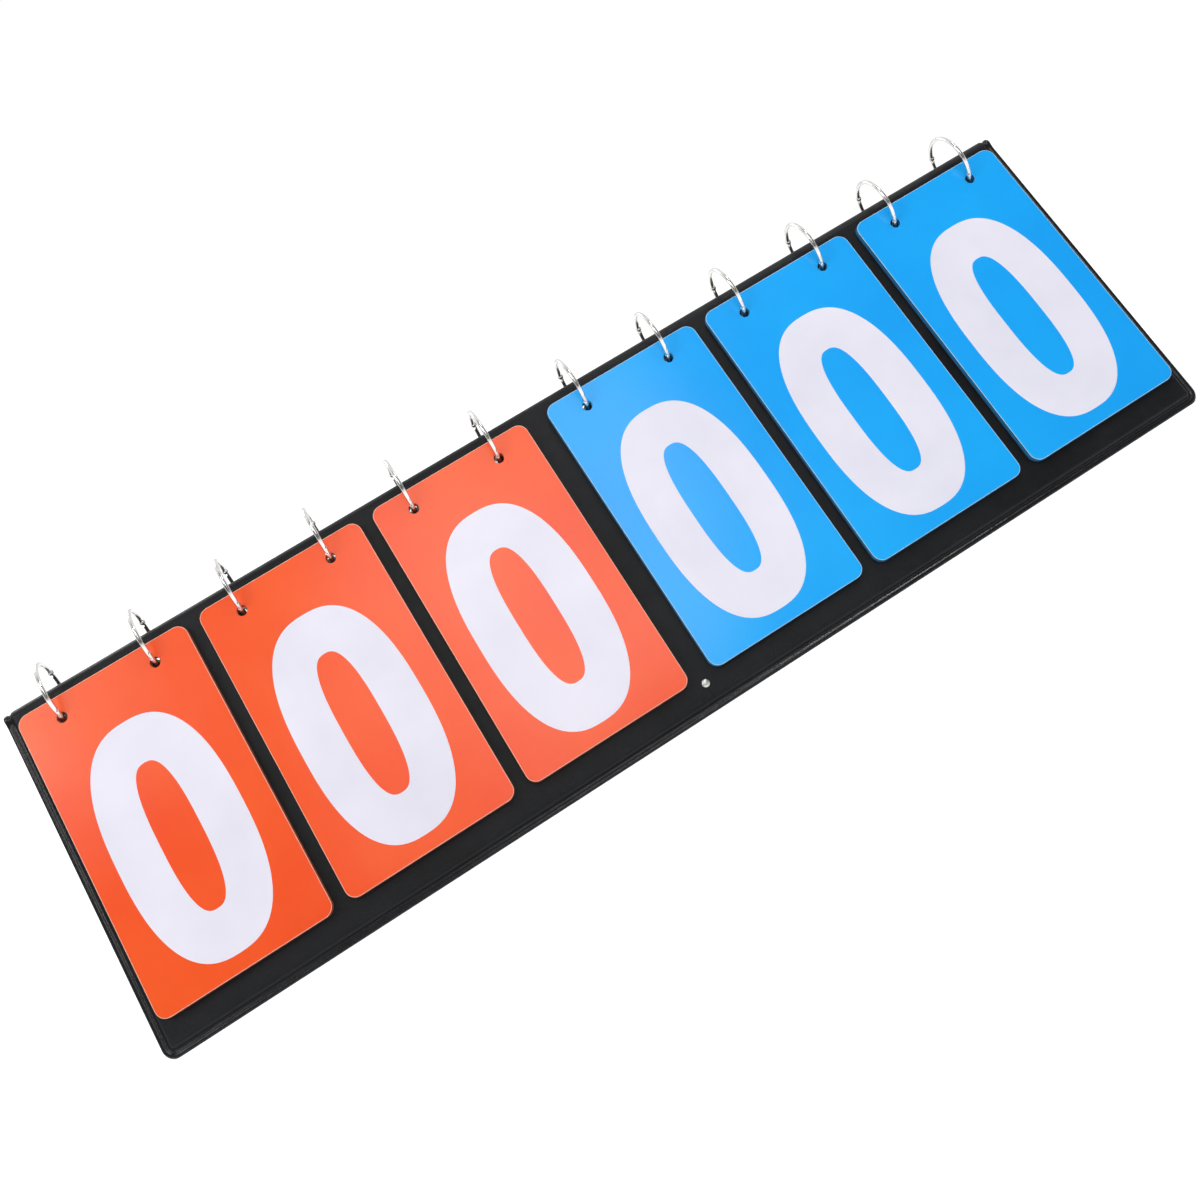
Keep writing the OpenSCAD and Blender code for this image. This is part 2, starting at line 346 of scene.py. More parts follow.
# %% [markdown]
# ## Nickel-plated steel
# Rings, pins and rivets are drawn steel wire with bright nickel plating. Bare metal takes all its
# look from what it mirrors, so it has full metallic and a low roughness. Drawing leaves faint
# scratches along the wire. Anisotropy could show them, but noise stretched along the wire also
# exports as a plain bump. Handling leaves duller patches.

# %% Bright and tumbled plating
DULL_PATCH = 3.5
SCRATCH, SCRATCH_DEPTH = 1.4, 0.008
SCRATCH_SQUEEZE = (6.0, 1.0, 1.0)  # six times finer across the wire than along it


def nickel_plate(name, smoothest, dullest):
    """Nickel on steel: a near white metal with duller patches and fine scratches."""
    material, tree, place = start_material(name)
    drawn = add_node(tree, "Mapping", values={"Scale": SCRATCH_SQUEEZE}, links={"Vector": place})
    lay_finish(
        tree, {"Metallic": 1.0},
        Base_Color=patchy_colour(tree, place, DULL_PATCH, 4.0, "#CFCECC", "#E6E5E2"),
        Roughness=patches(tree, place, DULL_PATCH, 4.0, smoothest, dullest),
        Normal=relief(tree, drawn, SCRATCH, 3.0, SCRATCH_DEPTH),
    )
    return material


materials["nickel"] = nickel_plate("nickel_plated_steel", 0.15, 0.27)
# rivets are tumbled smooth in a drum, which leaves them satin
materials["rivet"] = nickel_plate("tumbled_nickel_plate", 0.34, 0.44)
print("made", materials["nickel"].name, "and", materials["rivet"].name)

# %% [markdown]
# ## Greyboard
# The leaves are stiffened with greyboard, which is pressed from waste paper: matt, grey brown and
# flecked with fibres. It shows only inside the punched holes, so one noise is enough for both its
# flecks and its rough surface.

# %% Greyboard
FIBRE, FIBRE_DEPTH = 1.1, 0.05

material, tree, place = start_material("pressed_greyboard")
lay_finish(
    tree, {"Roughness": 0.9, "Specular IOR Level": 0.15},
    Base_Color=patchy_colour(tree, place, FIBRE, 5.0, "#7C776F", "#A39E95", 0.7),
    Normal=relief(tree, place, FIBRE, 5.0, FIBRE_DEPTH, 0.7),
)
materials["board"] = material
print("made", material.name)

# %% [markdown]
# ## Woven tape
# The stay that joins the leaves near the table is a plain woven polyester tape. Its threads cross
# every 0.8 mm, which is too fine to show, so the weave is drawn as crossing ribs of 5 mm. It could
# be modelled thread by thread, but two waves at right angles, multiplied, look the same here. A
# wave node has one rib in every 2 pi / 20 of its unit, which its scale allows for.

# %% Woven tape
WEAVE_RIB, WEAVE_DEPTH = 5.03, 0.1
WAVE_UNIT = 2 * math.pi / 20

material, tree, place = start_material("woven_polyester_tape")
warp, weft = [
    add_node(
        tree, "TexWave", {"bands_direction": direction},
        {"Scale": per_metre(WEAVE_RIB) * WAVE_UNIT}, {"Vector": place},
    ).outputs["Fac"]
    for direction in "XY"
]
weave = add_node(tree, "Math", {"operation": "MULTIPLY"}, links={0: warp, 1: weft})
# painted shade: the black is lighter where the ribs cross and darker in the weave's hollows
colour = add_node(
    tree, "Mix", {"data_type": "RGBA"},
    {"A": linear("#17181A"), "B": linear("#303236")}, {"Factor": weave},
)
woven = add_node(tree, "Bump", values={"Distance": WEAVE_DEPTH * MM}, links={"Height": weave})
lay_finish(tree, {"Roughness": 0.75, "Specular IOR Level": 0.25}, Base_Color=colour, Normal=woven)
materials["tape"] = material
print("materials:", sorted(materials))

# %% [markdown]
# ## From points to a piece
# A swept or stamped form is best described by rows of points, joined by faces. Modifiers could
# sweep a profile too, but rows of points leave each edge exactly where the CAD model has it. One
# class collects the points and faces. One helper makes the piece, turns its faces outwards, shades
# it smooth up to a sharp angle, says what it rides on and is finished like, and hides the CAD parts
# that it stands for.

# %% Points and faces
class Shell:
    """Collects the points and faces of one piece."""

    def __init__(self):
        self.points, self.faces, self.paint = [], [], []

    def add(self, points):
        """Adds points and returns their numbers."""
        first = len(self.points)
        self.points.extend(points)
        return list(range(first, len(self.points)))

    def face(self, corners, paint=0):
        """Adds a face, painted with one of the piece's materials."""
        self.faces.append(tuple(corners))
        self.paint.append(paint)

    def strip(self, one, two, closed=True, paint=0):
        """Quads between two rows of points."""
        last = len(one) if closed else len(one) - 1
        for i in range(last):
            k = (i + 1) % len(one)
            self.face((one[i], one[k], two[k], two[i]), paint)

    def skin(self, rows, paint=0):
        """Quads from each row of points to the next, which makes a tube."""
        for one, two in zip(rows, rows[1:]):
            self.strip(one, two, paint=paint)

    def walls(self, low, high, paint=0):
        """Quads from each low row to its high one, as in the walls of holes."""
        for pair in zip(low, high):
            self.skin(pair, paint)

    def plate(self, flats, low, high, paint=0):
        """Two flat faces with holes, of which low and high hold the numbers of the points."""
        self.fill(flats, low)
        self.fill(flats, high)
        self.walls(low[1:], high[1:], paint)

    def fill(self, flat_rings, numbers):
        """Triangles over a flat outline less its holes. Both are flat points, in order."""
        rings = [[Vector((a, b, 0.0)) for a, b in ring] for ring in flat_rings]
        flat_numbers = [n for ring in numbers for n in ring]
        for triangle in tessellate_polygon(rings):
            self.face([flat_numbers[i] for i in triangle])


print("a shell can", [name for name in vars(Shell) if not name.startswith("_")])

# %% Finish a piece
SHARP_FROM = math.radians(38)


def new_object(name, data):
    """A new object in the scene, which shows a mesh, a lamp or a camera."""
    thing = bpy.data.objects.new(name, data)
    bpy.context.scene.collection.objects.link(thing)
    return thing


def finish_piece(shell, name, surfaces, body=None, replaces=()):
    """Makes the object, turns its faces outwards and lets it ride on a body."""
    mesh = bpy.data.meshes.new(name)
    mesh.from_pydata([tuple(p) for p in shell.points], [], shell.faces)
    for surface in surfaces:
        mesh.materials.append(materials[surface])
    mesh.polygons.foreach_set("material_index", shell.paint)
    piece = new_object(name, mesh)
    bpy.context.view_layer.objects.active = piece
    piece.select_set(True)
    bpy.ops.object.mode_set(mode="EDIT")
    bpy.ops.mesh.select_all(action="SELECT")
    bpy.ops.mesh.normals_make_consistent(inside=False)
    bpy.ops.object.mode_set(mode="OBJECT")
    piece.select_set(False)
    mesh.shade_smooth()
    mesh.set_sharp_from_angle(angle=SHARP_FROM)
    if body:
        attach(piece, body)
    if replaces:
        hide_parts(*replaces)
    return piece


print("edges stay sharp from", round(math.degrees(SHARP_FROM)), "degrees")

# %% [markdown]
# ## The edge of a covered leaf
# The PVC sheet is drawn over the board and welded to the lining round it, which leaves a rounded
# bead at the very edge, a pressed groove inside it, and a soft shoulder up to the board's face. A
# bevel could round the edge, but not give it a groove. So one profile is swept down one side,
# round the foot and up the other side.

# %% Profile of the edge
# each point is drawn in from the edge, and out from the fold line
EDGE_PROFILE = [
    (0.0, 1.75), (0.12, 1.96), (0.5, 2.15), (1.0, 2.3), (1.6, 2.28), (2.1, 2.08), (2.5, 1.88),
    (2.9, 1.82), (3.3, 1.86), (3.6, 2.04), (3.85, 2.4), (4.05, 2.9), (4.3, 3.38), (4.65, 3.74),
    (5.1, 3.92), (5.7, 3.99), (6.2, 4.0), (7.2, 4.0),
]
UNDER_PROFILE = [(5.6, 3.5), (4.95, 3.5), (4.75, 3.3), (4.6, 1.5), (0.0, 1.5)]
COVER_PROFILE = UNDER_PROFILE + EDGE_PROFILE
LEAF_TOP = 3.0
FOOT_RADIUS = 6.0
LEAST_RADIUS = 0.4
CORNER_STEPS = 10
SIDE_STEPS = 64
FOOT_STEPS = 240


def leaf_outline(inset):
    """Flat points down the left side, along the foot and up the right side, drawn in by inset."""
    half, foot = LEAF_WIDTH / 2 - inset, LEAF_LENGTH - inset
    r = max(FOOT_RADIUS - inset, LEAST_RADIUS)
    side = [LEAF_TOP + (foot - r - LEAF_TOP) * k / SIDE_STEPS for k in range(SIDE_STEPS)]
    turn = [math.pi / 2 * k / CORNER_STEPS for k in range(CORNER_STEPS)]
    points = [(-half, drop) for drop in side]
    points += [(-half + r - r * math.cos(t), foot - r + r * math.sin(t)) for t in turn]
    points += [(-half + r + 2 * (half - r) * k / FOOT_STEPS, foot) for k in range(FOOT_STEPS)]
    points += [(half - r + r * math.sin(t), foot - r + r * math.cos(t)) for t in turn]
    points += [(half, foot - r)] + [(half, drop) for drop in reversed(side)]
    return points


print("points along the edge:", len(leaf_outline(0.0)), "in", len(COVER_PROFILE), "rows")

# %% [markdown]
# ## The uneven weld
# A weld is never quite even, so bead and shoulder rise and fall by a few hundredths of a
# millimetre. A bump would leave the outline straight. Moving the points breaks up the highlight
# along the foot, as in the photograph, and shows in the outline too.

# %% Rows of points along the weld
SHEET_OUT = 1.5
FLAT_FROM = 6.0
WELD_UNEVEN = 0.05
WOBBLE_WAVES = 9
WOBBLE_TURNS = (2, 60)  # how often a wave rises and falls along the whole edge
WOBBLE_STARTS = (0, 6.28)
WOBBLE_HEIGHTS = (0.3, 1.0)


def weld_wobble(rng, count):
    """A slow random rise and fall along the weld, from a few sine waves."""
    waves = [
        (rng.uniform(*WOBBLE_TURNS), rng.uniform(*WOBBLE_STARTS), rng.uniform(*WOBBLE_HEIGHTS))
        for _ in range(WOBBLE_WAVES)
    ]
    return [
        sum(a * math.sin(f * 2 * math.pi * k / count + p) for f, p, a in waves)
        / math.sqrt(WOBBLE_WAVES)
        for k in range(count)
    ]


def edge_rows(shell, side, seed):
    """Adds one row of points along the edge for each point of its profile."""
    rows = []
    wobble = weld_wobble(random.Random(seed), len(leaf_outline(0.0)))
    for inset, out in COVER_PROFILE:
        lift = WELD_UNEVEN if 0 < inset < FLAT_FROM and out > SHEET_OUT else 0.0
        flat = zip(leaf_outline(inset), wobble)
        row = [on_leaf(side, x, d, out + lift * w) for (x, d), w in flat]
        # the foot stands flat on the table
        rows.append(shell.add([Vector((p.x, p.y, max(p.z, 0.0))) for p in row]))
    return rows


print("the weld is uneven by about", WELD_UNEVEN, "mm")

# %% [markdown]
# ## The holes in a leaf
# Twelve holes of 6 mm are punched through each leaf for the rings, and a small one for the rivet.
# A Boolean cut leaves long thin faces that shade badly. So the flat faces are filled round the
# holes, and each hole gets its own wall.

# %% Places of the holes
BOARD_FACE = 3.5
LEAF_OUT = 4.0
CARD_X = [-227.5, -137.5, -47.5, 47.5, 137.5, 227.5]
HOLE_PITCH = 46.0
HOLE_DROP = 12.2
RING_X = [x + step * HOLE_PITCH / 2 for x in CARD_X for step in (-1, 1)]
LEAF_HOLE_RADIUS = 3.0
RIVET_DROP = 149.4
RIVET_HOLE = 1.05


def circle(across, drop, radius, steps=32):
    """Flat points round a hole."""
    turn = [2 * math.pi * k / steps for k in range(steps)]
    return [(across + radius * math.cos(t), drop + radius * math.sin(t)) for t in turn]


leaf_holes = [circle(x, HOLE_DROP, LEAF_HOLE_RADIUS) for x in RING_X]
leaf_holes.append(circle(0.0, RIVET_DROP, RIVET_HOLE))
print("holes in a leaf:", len(leaf_holes))

# %% Cover sheets
WELD_TO = 3.4


def cover_sheet(side, name, body, node, seed):
    """A cover from its edge profile, as a closed sheet with its holes."""
    shell = Shell()
    rows = edge_rows(shell, side, seed)
    for k, (one, two) in enumerate(zip(rows, rows[1:])):
        on_weld = k >= len(UNDER_PROFILE) - 1 and COVER_PROFILE[k + 1][0] < WELD_TO
        shell.strip(one, two, closed=False, paint=1 if on_weld else 0)
    low = [shell.add([on_leaf(side, x, d, BOARD_FACE) for x, d in ring]) for ring in leaf_holes]
    high = [shell.add([on_leaf(side, x, d, LEAF_OUT) for x, d in ring]) for ring in leaf_holes]
    shell.fill([leaf_outline(COVER_PROFILE[-1][0])] + leaf_holes, [rows[-1]] + high)
    shell.fill([leaf_outline(COVER_PROFILE[0][0])] + leaf_holes, [rows[0]] + low)
    shell.walls(low, high)
    # the end at the fold is one C-shaped face through all the rows
    end = [(-LEAF_WIDTH / 2 + inset, out) for inset, out in COVER_PROFILE]
    end += [(LEAF_WIDTH / 2 - inset, out) for inset, out in reversed(COVER_PROFILE)]
    shell.fill([end], [[row[0] for row in rows] + [row[-1] for row in reversed(rows)]])
    return finish_piece(shell, name, ["pvc", "weld"], body, [node])


front_cover = cover_sheet(FRONT, "front_cover_sheet", "front_leaf", "front_cover", 11)
rear_cover = cover_sheet(REAR, "rear_cover_sheet", "rear_leaf", "rear_cover", 12)
print("cover points:", len(front_cover.data.vertices), len(rear_cover.data.vertices))

# %% [markdown]
# ## The fold
# Over the top the same sheet turns from leaf to leaf in one soft roll, which hides the gap between
# the boards. Bead and groove run on over the top, where they rise nearly to the height of the
# roll. Cloth simulation could drape it, but the sheet is stiff and fixed at both ends. So its
# section is drawn, as one closed line for each place along the fold.

# %% Section of the fold
LINING_OUT = 1.0
FOLD_THICK = 1.0
ARC_STEPS = 40
STRAIGHT_DROPS = [3.0, 2.0, 1.0]
INSIDE_DROPS = [3.0, 2.2, 1.2]
STRAIGHT_SHARE = 0.45  # the part of the bead's rise before the roll begins
BEAD_TOP = 2.3
BEAD_RISE = 1.4


def limit(value):
    """The value, kept between 0 and 1."""
    return min(max(value, 0.0), 1.0)


def ease(part):
    """A part from 0 to 1, with a soft start and end."""
    return part * part * (3 - 2 * part)


def fold_ring(across, out, inside):
    """The closed line round the fold's section: over the outside, then back inside."""
    rise = BEAD_RISE * limit((LEAF_OUT - out) / (LEAF_OUT - BEAD_TOP))

    def arc(outside):
        points = []
        for k in range(ARC_STEPS + 1):
            t = LEAN + (math.pi - 2 * LEAN) * k / ARC_STEPS
            part = STRAIGHT_SHARE + (1 - STRAIGHT_SHARE) * (1 - abs(2 * k / ARC_STEPS - 1))
            radius = out + rise * ease(part) if outside else inside
            y, z = -radius * math.cos(t), FOLD_HEIGHT + radius * math.sin(t)
            points.append(Vector((across, y, z)) * MM)
        return points

    over = [
        (drop, out + rise * ease(STRAIGHT_SHARE * (1 - drop / LEAF_TOP))) for drop in STRAIGHT_DROPS
    ]
    under = [
        (drop, LINING_OUT + (inside - LINING_OUT) * ease(k / len(INSIDE_DROPS)))
        for k, drop in enumerate(INSIDE_DROPS)
    ]
    points = [on_leaf(FRONT, across, drop, level) for drop, level in over] + arc(True)
    points += [on_leaf(REAR, across, drop, level) for drop, level in reversed(over)]
    points += [on_leaf(REAR, across, drop, level) for drop, level in under]
    points += list(reversed(arc(False)))
    points += [on_leaf(FRONT, across, drop, level) for drop, level in reversed(under)]
    return points


print("points round the fold:", len(fold_ring(0.0, LEAF_OUT, LEAF_OUT - FOLD_THICK)))

# %% Fold sheet
# the sheet is drawn bent round the joint, and rides on neither leaf
HOLLOW_FROM, HOLLOW_OVER = 4.0, 1.2
MIDDLE_STATIONS = (-180.0, -90.0, 0.0, 90.0, 180.0)

stations = [(-LEAF_WIDTH / 2 + inset, inset, out) for inset, out in EDGE_PROFILE]
stations += [(x, FLAT_FROM, LEAF_OUT) for x in MIDDLE_STATIONS]
stations += [(LEAF_WIDTH / 2 - inset, inset, out) for inset, out in reversed(EDGE_PROFILE)]
shell = Shell()
rings = []
for across, inset, out in stations:
    hollow = limit((inset - HOLLOW_FROM) / HOLLOW_OVER)
    inside = LINING_OUT + (LEAF_OUT - FOLD_THICK - LINING_OUT) * hollow
    rings.append(shell.add(fold_ring(across, out, inside)))
for k, (one, two) in enumerate(zip(rings, rings[1:])):
    shell.strip(one, two, paint=1 if max(stations[k][1], stations[k + 1][1]) < WELD_TO else 0)
for ring in (rings[0], rings[-1]):
    shell.fill([[(shell.points[n].y, shell.points[n].z) for n in ring]], [ring])
fold = finish_piece(shell, "fold_sheet", ["pvc", "weld"], replaces=["fold_strip"])
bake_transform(fold)
print("fold points:", len(fold.data.vertices))

# %% [markdown]
# ## Linings and boards
# The lining on the inside of each leaf is the same PVC sheet, and the board shows only in the
# punched holes. Both could be built again here, but their CAD shapes are right as they are. So
# they stay, and only get a better material.

# %% Materials for linings and boards
KEPT_NODES = {
    "front_lining": "pvc", "rear_lining": "pvc", "front_board": "board", "rear_board": "board",
}
for node, surface in KEPT_NODES.items():
    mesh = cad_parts[node].data
    mesh.materials.clear()
    mesh.materials.append(materials[surface])
print("kept CAD nodes:", list(KEPT_NODES))

# %% [markdown]
# ## A card
# A die cuts each card with rounded corners and two round holes. The print stops a hair inside the
# cut, so a thin white line of the core runs round it, and the cut edge is slightly rounded. A flat
# box with a bevel would have no such line. So the outline is repeated six times from face to face,
# and the strips between print and edge get the core's material.

# %% Outline of a card
CARD_WIDTH = 83.0
CARD_LENGTH = 144.0
CARD_THICK = 0.36
CARD_RADIUS = 5.0
CARD_TOP = 2.6
CARD_CORNER_STEPS = 9


def card_outline(inset):
    """Flat points round a card, drawn in by inset, from its centre line and top edge."""
    half, r = CARD_WIDTH / 2 - inset, CARD_RADIUS - inset
    top, low = inset + r, CARD_LENGTH - inset - r
    corners = ((half - r, top, -90), (half - r, low, 0), (r - half, low, 90), (r - half, top, 180))
    points = []
    for across, drop, start in corners:
        for k in range(CARD_CORNER_STEPS):
            t = math.radians(start + 90 * k / (CARD_CORNER_STEPS - 1))
            points.append((across + r * math.cos(t), drop + r * math.sin(t)))
    return points


print("points round a card:", len(card_outline(0.0)))

# %% One card sheet
PRINT_MARGIN = 0.22
EDGE_ROUND = 0.07
CARD_HOLE_RADIUS = 2.5
CARD_HOLE_STEPS = 28


def add_card(shell, centre, out, shift=(0.0, 0.0)):
    """One card sheet: core edge, white margin, printed faces and two holes."""
    def place(points, level):
        across, down = centre + shift[0], CARD_TOP + shift[1]
        return shell.add([on_leaf(FRONT, across + x, down + drop, level) for x, drop in points])

    top = out + CARD_THICK
    edge = [(PRINT_MARGIN, out), (EDGE_ROUND, out), (0.0, out + EDGE_ROUND)]
    edge += [(0.0, top - EDGE_ROUND), (EDGE_ROUND, top), (PRINT_MARGIN, top)]
    rows = [place(card_outline(inset), level) for inset, level in edge]
    shell.skin(rows, paint=1)
    holes = [
        circle(side * HOLE_PITCH / 2, HOLE_DROP - CARD_TOP, CARD_HOLE_RADIUS, CARD_HOLE_STEPS)
        for side in (-1, 1)
    ]
    low = [place(ring, out) for ring in holes]
    high = [place(ring, top) for ring in holes]
    shell.plate([card_outline(PRINT_MARGIN)] + holes, [rows[0]] + low, [rows[-1]] + high, paint=1)


trial = Shell()
add_card(trial, 0.0, 0.0)
print("faces of one card:", len(trial.faces))

# %% [markdown]
# ## Six packs of cards
# Each pack has a front card that turns and nine cards behind it. The nine could be one block, but
# cards on loose rings never lie in perfect register, and their edges show it. So each is a sheet
# of its own, shifted by a seeded random step of up to a quarter of a millimetre.

# %% Packs and front cards
CARDS_BEHIND = 9
CARD_PITCH = 0.40
CARD_LOOSE = 0.25
FIRST_CARD_OUT = 4.1

rng = random.Random(5)
for i, centre in enumerate(CARD_X, start=1):
    colour = "orange" if i <= 3 else "blue"
    pack = Shell()
    for k in range(CARDS_BEHIND):
        # the last one lies straight, because the 1 is printed on it
        loose = 0.0 if k == CARDS_BEHIND - 1 else CARD_LOOSE
        step = (rng.uniform(-loose, loose), rng.uniform(-loose, loose))
        add_card(pack, centre, FIRST_CARD_OUT + k * CARD_PITCH, step)
    # the cards behind the front one take the darker edge, which is painted shade in the pack
    surfaces = [colour, f"{colour}_stack"]
    finish_piece(
        pack, f"card_stack_{i}", surfaces, "front_leaf", [f"card_pack_{i}"]
    )
    single = Shell()
    add_card(single, centre, FIRST_CARD_OUT + CARDS_BEHIND * CARD_PITCH)
    finish_piece(
        single, f"front_card_sheet_{i}", [colour, f"{colour}_edge"],
        f"front_card_{i}", [f"flip_card_{i}"],
    )
print("cards:", len(CARD_X) * (CARDS_BEHIND + 1))

# %% [markdown]
# ## The numbers
# The numbers are printed in thick white ink. They could be a mask in the material, but real
# geometry stays crisp in any view, so each is a very thin raised piece on its card. The 0 is two
# superellipses, which are ellipses with straighter sides, as in a bold sans serif digit. A 1 waits
# on the next card and shows when the front card is turned.

# %% Shapes of 0 and 1
NUMBER_LENGTH = 111.2
NUMBER_TOP = CARD_TOP + 25.9
ZERO_WIDTH = 59.5
ZERO_CENTRE = -0.6
SIDE_STROKE, END_STROKE = 20.15, 20.5
OUTER_POWER, COUNTER_POWER = 2.53, 2.7
ROUND_STEPS = 96
FLAG_CURVE = [(-4.0, 8.0), (-7.5, 13.5), (-12.5, 18.5), (-18.0, 22.0), (-24.0, 24.5)]
FLAG_FOOT = [(-24.0, 42.5), (-15.5, 39.2), (-8.5, 34.6)]


def superellipse(half_width, half_length, power, middle):
    """Flat points round a superellipse."""
    points = []
    for k in range(ROUND_STEPS):
        t = 2 * math.pi * k / ROUND_STEPS
        c, s = math.cos(t), math.sin(t)
        x = half_width * math.copysign(abs(c) ** (2 / power), c)
        y = half_length * math.copysign(abs(s) ** (2 / power), s)
        points.append((middle[0] + x, middle[1] + y))
    return points


middle = (ZERO_CENTRE, NUMBER_TOP + NUMBER_LENGTH / 2)
half_width, half_length = ZERO_WIDTH / 2, NUMBER_LENGTH / 2
zero = [
    superellipse(half_width, half_length, OUTER_POWER, middle),
    superellipse(half_width - SIDE_STROKE, half_length - END_STROKE, COUNTER_POWER, middle),
]
one_outline = [(13.5, 0.0), (-1.5, 0.0)] + FLAG_CURVE + FLAG_FOOT
one_outline += [(-8.5, NUMBER_LENGTH), (13.5, NUMBER_LENGTH)]
one_shape = [(x, NUMBER_TOP + d) for x, d in one_outline]
print("points of the 0 and the 1:", len(zero[0]) + len(zero[1]), len(one_shape))

# %% Raised ink on the cards
INK_LOW, INK_HIGH = 0.004, 0.018


def ink_piece(outlines, centre, face_out, name, body):
    """A thin raised number from a flat outline and its holes."""
    shell = Shell()

    def place(rise):
        rings = [[on_leaf(FRONT, centre + x, d, face_out + rise) for x, d in r] for r in outlines]
        return [shell.add(ring) for ring in rings]

    low, high = place(INK_LOW), place(INK_HIGH)
    shell.plate(outlines, low, high)
    shell.walls(low[:1], high[:1])
    return finish_piece(shell, name, ["ink"], body)


front_face = FIRST_CARD_OUT + CARDS_BEHIND * CARD_PITCH + CARD_THICK
for i, centre in enumerate(CARD_X, start=1):
    ink_piece(zero, centre, front_face, f"number_zero_{i}", f"front_card_{i}")
    ink_piece([one_shape], centre, front_face - CARD_PITCH, f"number_one_{i}", "front_leaf")
print("numbers:", 2 * len(CARD_X))

# %% [markdown]
# ## Where the rings lie
# Each ring passes through a hole in each leaf and goes round the fold between them. Its centre
# could be read off the photograph, but a small error would push the wire into the board. So it is
# worked out from the middles of the holes and the ring's radius. Loose rings never turn alike, so
# their hinges lie a few degrees apart.

# %% Centre and hinge of a ring
RING_RADIUS = 14.5
RING_BIAS = 1.2
KNUCKLE_AT = 156
RING_TURN = 2


def ring_centre():
    """Where a ring's centre lies, so that its wire passes the middle of both holes."""
    front_out = FIRST_CARD_OUT + CARDS_BEHIND * CARD_PITCH - RING_BIAS
    rear_out = (LINING_OUT + LEAF_OUT) / 2
    front = on_leaf(FRONT, 0, HOLE_DROP, front_out) / MM
    rear = on_leaf(REAR, 0, HOLE_DROP, rear_out) / MM
    chord = (rear - front).length
    rise = math.sqrt(RING_RADIUS**2 - chord**2 / 4)
    up = Vector((0, -(rear - front).z, (rear - front).y)).normalized()
    return (front + rear) / 2 + up * rise


CENTRE = ring_centre()


def knuckle_angle(n):
    """The place of ring n's hinge, in degrees up and back from straight ahead."""
    return KNUCKLE_AT + RING_TURN * ((n * 3) % 5 - 2)


def on_ring(n, angle, radius, across):
    """A point by a ring, at an angle from straight ahead over the top."""
    t = math.radians(angle)
    y, z = CENTRE.y - radius * math.cos(t), CENTRE.z + radius * math.sin(t)
    return Vector((RING_X[n] + across, y, z)) * MM


print("ring centre:", [round(c, 3) for c in CENTRE])
print("hinges at", [knuckle_angle(n) for n in range(len(RING_X))], "degrees")

# %% [markdown]
# ## The wire's section
# A hinged binder ring is two half circles of steel wire. At the hinge both are pressed into flat
# eyes, side by side on one pin, and at the joint they are halved and lap over each other. A curve
# with a bevel would give only plain wire. So the section changes along the way: towards the eye it
# grows and turns square, and where it laps its neighbour it is cut back to its own side.

# %% Section at a place along the wire
WIRE = 1.1
EYE = 1.5
EYE_END = 2.2
LEAST_EYE = 0.02
SQUARENESS, SQUARE_OVER = 0.45, 1.0
LAP = 1.5
LAP_GAP = 0.03
CUT_OVER = 0.35
TIP_ROUND, TIP_SIZE = 0.3, 0.7


def section_at(length, along):
    """Half height, half width, squareness and cut-back of the wire at a distance from the pin."""
    height = width = WIRE
    if along < math.sqrt(EYE**2 - WIRE**2):
        height = math.sqrt(max(EYE**2 - along**2, LEAST_EYE**2))
    end = length + LAP - 2 * LAP_GAP - along
    if end < TIP_ROUND:
        round_off = math.sqrt(max(1 - (1 - end / TIP_ROUND) ** 2, 0.0))
        shrink = round_off * (1 - TIP_SIZE) + TIP_SIZE
        height, width = height * shrink, width * shrink
    square = 1 - SQUARENESS * limit((EYE_END - along) / SQUARE_OVER)
    at_hinge = limit((EYE_END - along) / CUT_OVER)
    at_joint = limit((along - (length - LAP - CUT_OVER)) / CUT_OVER)
    return height, width, square, max(at_hinge, at_joint)


half_ring = math.pi * RING_RADIUS
print("height, width, squareness and cut at the pin:", section_at(half_ring, 0.0))

# %% Half a ring
WIRE_SIDES = 20
ARC_MARKS = 34
EYE_MARKS = [
    -EYE + 0.001, -1.46, -1.38, -1.25, -1.05, -0.8, -0.5, -0.2, 0.1, 0.4, 0.7, 0.95, 1.1, 1.4,
    1.85, 2.05, EYE_END,
]
TIP_MARKS = (0.3, 0.2, 0.1, 0.04, 0.0)


def wire_marks(length):
    """Distances from the pin at which the wire has a section."""
    arc_end = length - LAP - 0.4
    marks = EYE_MARKS + [
        EYE_END + (arc_end - EYE_END) * k / ARC_MARKS for k in range(1, ARC_MARKS + 1)
    ]
    marks += [length - LAP - 0.2, length - LAP, length - 0.7, length, length + 0.7]
    return marks + [length + LAP - 2 * LAP_GAP - e for e in TIP_MARKS]


def wire_half(n, direction, name, body, node):
    """Half a ring: direction 1 runs from the hinge down and under, -1 over the top."""
    shell, rows = Shell(), []
    for along in wire_marks(half_ring):
        height, width, square, cut = section_at(half_ring, along)
        angle = knuckle_angle(n) + direction * math.degrees(along / RING_RADIUS)
        row = []
        for k in range(WIRE_SIDES):
            t = 2 * math.pi * (k + 0.5) / WIRE_SIDES
            c, s = math.cos(t), math.sin(t)
            radial = height * math.copysign(abs(c) ** square, c)
            lateral = width * math.copysign(abs(s) ** square, s)
            lateral += cut * (max(lateral, LAP_GAP) - lateral)
            row.append(on_ring(n, angle, RING_RADIUS + radial, direction * lateral))
        rows.append(shell.add(row))
    shell.skin(rows)
    shell.face(rows[0])
    shell.face(rows[-1])
    return finish_piece(shell, name, ["nickel"], body, [node])


for n in range(len(RING_X)):
    pair = n // 2 + 1
    wire_half(n, 1, f"ring_lower_half_{n + 1}", f"ring_pair_{pair}", f"ring_hoop_{n + 1}")
    wire_half(n, -1, f"ring_upper_half_{n + 1}", f"gate_{n + 1}", f"ring_gate_{n + 1}")
print("ring halves:", 2 * len(RING_X), "with", len(wire_marks(half_ring)), "sections each")

